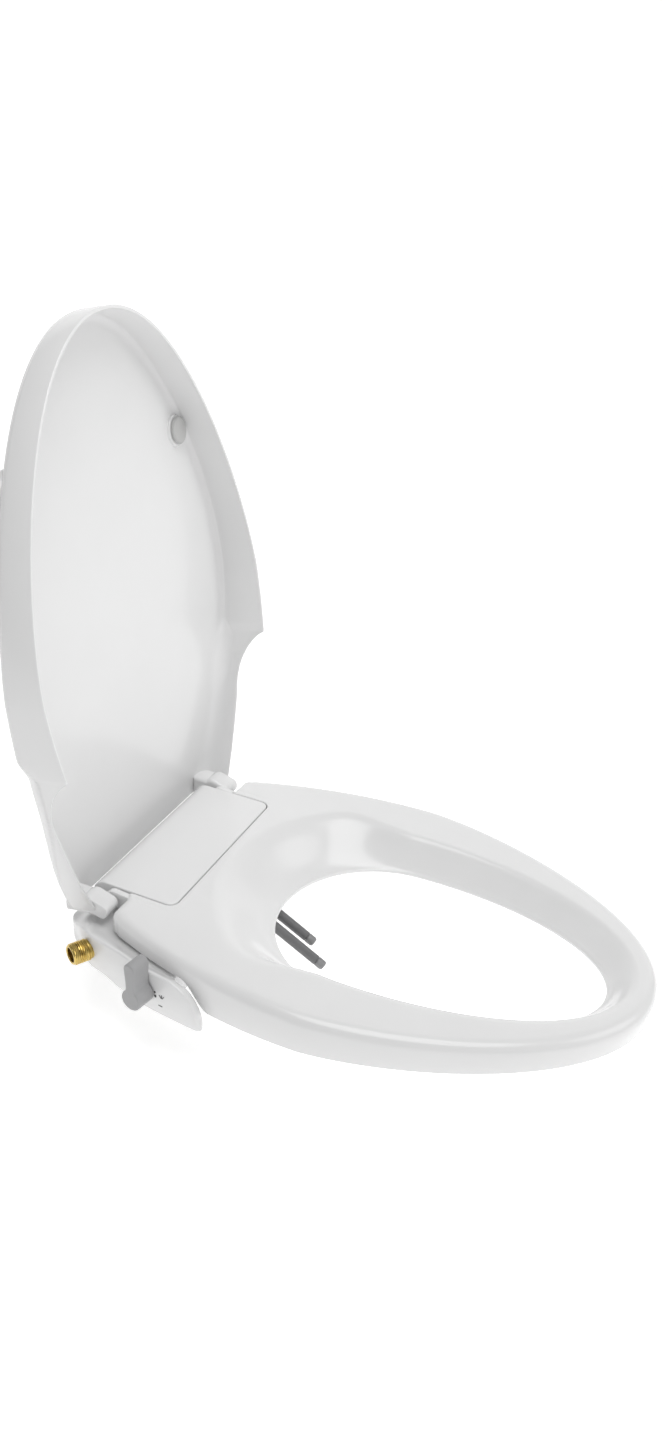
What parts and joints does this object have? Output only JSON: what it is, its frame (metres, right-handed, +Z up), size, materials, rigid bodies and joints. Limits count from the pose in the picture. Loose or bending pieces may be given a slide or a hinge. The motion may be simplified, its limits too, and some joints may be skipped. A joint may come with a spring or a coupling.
{
  "type": "bidet seat",
  "caption": "Elongated toilet seat and lid on a base with a side control arm, turned lever, brass water inlet and sliding spray nozzles.",
  "frame": {"origin": "midway between the two mounting bolts, on the plane of the bowl's rim", "axes": "+X away from the control arm, -Y towards the seat's nose, +Z up"},
  "size_m": [0.3896, 0.5494, 0.5863],
  "materials": {
    "gloss_white": "smooth high gloss moulded",
    "grey_knob": "satin moulded",
    "soft_grey": "matt soft elastomer",
    "dark_plastic": "satin moulded",
    "brass": "turned and bright",
    "steel": "polished stainless",
    "black_rubber": "matt",
    "nylon": "satin moulded",
    "milky_hose": "extruded, translucent"
  },
  "bodies": {
    "base": {"base_housing": "gloss_white", "base_tray": "gloss_white", "base_pad_left": "black_rubber", "base_pad_centre": "black_rubber", "base_pad_right": "black_rubber", "hinge_cover": "gloss_white", "mount_bolt_left": "nylon", "mount_bolt_right": "nylon", "tapered_washer_left": "black_rubber", "tapered_washer_right": "black_rubber", "wing_nut_left": "nylon", "wing_nut_right": "nylon", "inlet_fitting": "brass", "inlet_nut": "brass", "supply_hose": "milky_hose", "valve_body": "nylon", "nozzle_carrier": "gloss_white", "rear_nozzle_seal": "black_rubber", "front_nozzle_seal": "black_rubber", "rear_nozzle_spring": "steel", "front_nozzle_spring": "steel", "rear_nozzle_hose": "milky_hose", "front_nozzle_hose": "milky_hose", "lid_damper": "nylon", "seat_damper": "nylon", "lid_damper_cradle": "gloss_white", "seat_damper_cradle": "gloss_white", "tray_screw_1": "steel", "tray_screw_2": "steel", "tray_screw_3": "steel", "tray_screw_4": "steel", "tray_screw_5": "steel", "tray_screw_6": "steel"},
    "seat": {"seat_shell": "gloss_white", "seat_base_ring": "gloss_white", "seat_bumper_front_left": "soft_grey", "seat_bumper_front_right": "soft_grey", "seat_bumper_rear_left": "soft_grey", "seat_bumper_rear_right": "soft_grey", "seat_shaft": "steel", "seat_bush": "nylon"},
    "lid": {"lid_shell": "gloss_white", "lid_bumper_left": "soft_grey", "lid_bumper_right": "soft_grey", "lid_shaft": "steel", "lid_bush": "nylon"},
    "control": {"control_knob": "grey_knob", "valve_stem": "brass"},
    "rear_spray": {"rear_nozzle": "dark_plastic", "rear_nozzle_tip": "dark_plastic"},
    "front_spray": {"front_nozzle": "dark_plastic", "front_nozzle_tip": "dark_plastic"}
  },
  "joints": [
    {"name": "lid_hinge", "type": "hinge", "parent": "base", "child": "lid", "pos_m": [0, 0.002, 0.0475], "axis": [-1, 0, 0], "range_deg": [-99.3, 0]},
    {"name": "seat_hinge", "type": "hinge", "parent": "base", "child": "seat", "pos_m": [0, 0.002, 0.0475], "axis": [-1, 0, 0], "range_deg": [0, 95]},
    {"name": "control_turn", "type": "hinge", "parent": "base", "child": "control", "pos_m": [-0.1786, -0.07, 0.017], "axis": [-0.9854, 0.1701, 0], "range_deg": [-75, 75]},
    {"name": "rear_nozzle_slide", "type": "slide", "parent": "base", "child": "rear_spray", "axis": [0, -0.8704, -0.4924], "range_m": [-0.046, 0], "deforming": ["rear_nozzle_spring"]},
    {"name": "front_nozzle_slide", "type": "slide", "parent": "base", "child": "front_spray", "axis": [0, -0.8704, -0.4924], "range_m": [-0.046, 0], "deforming": ["front_nozzle_spring"]}
  ]
}
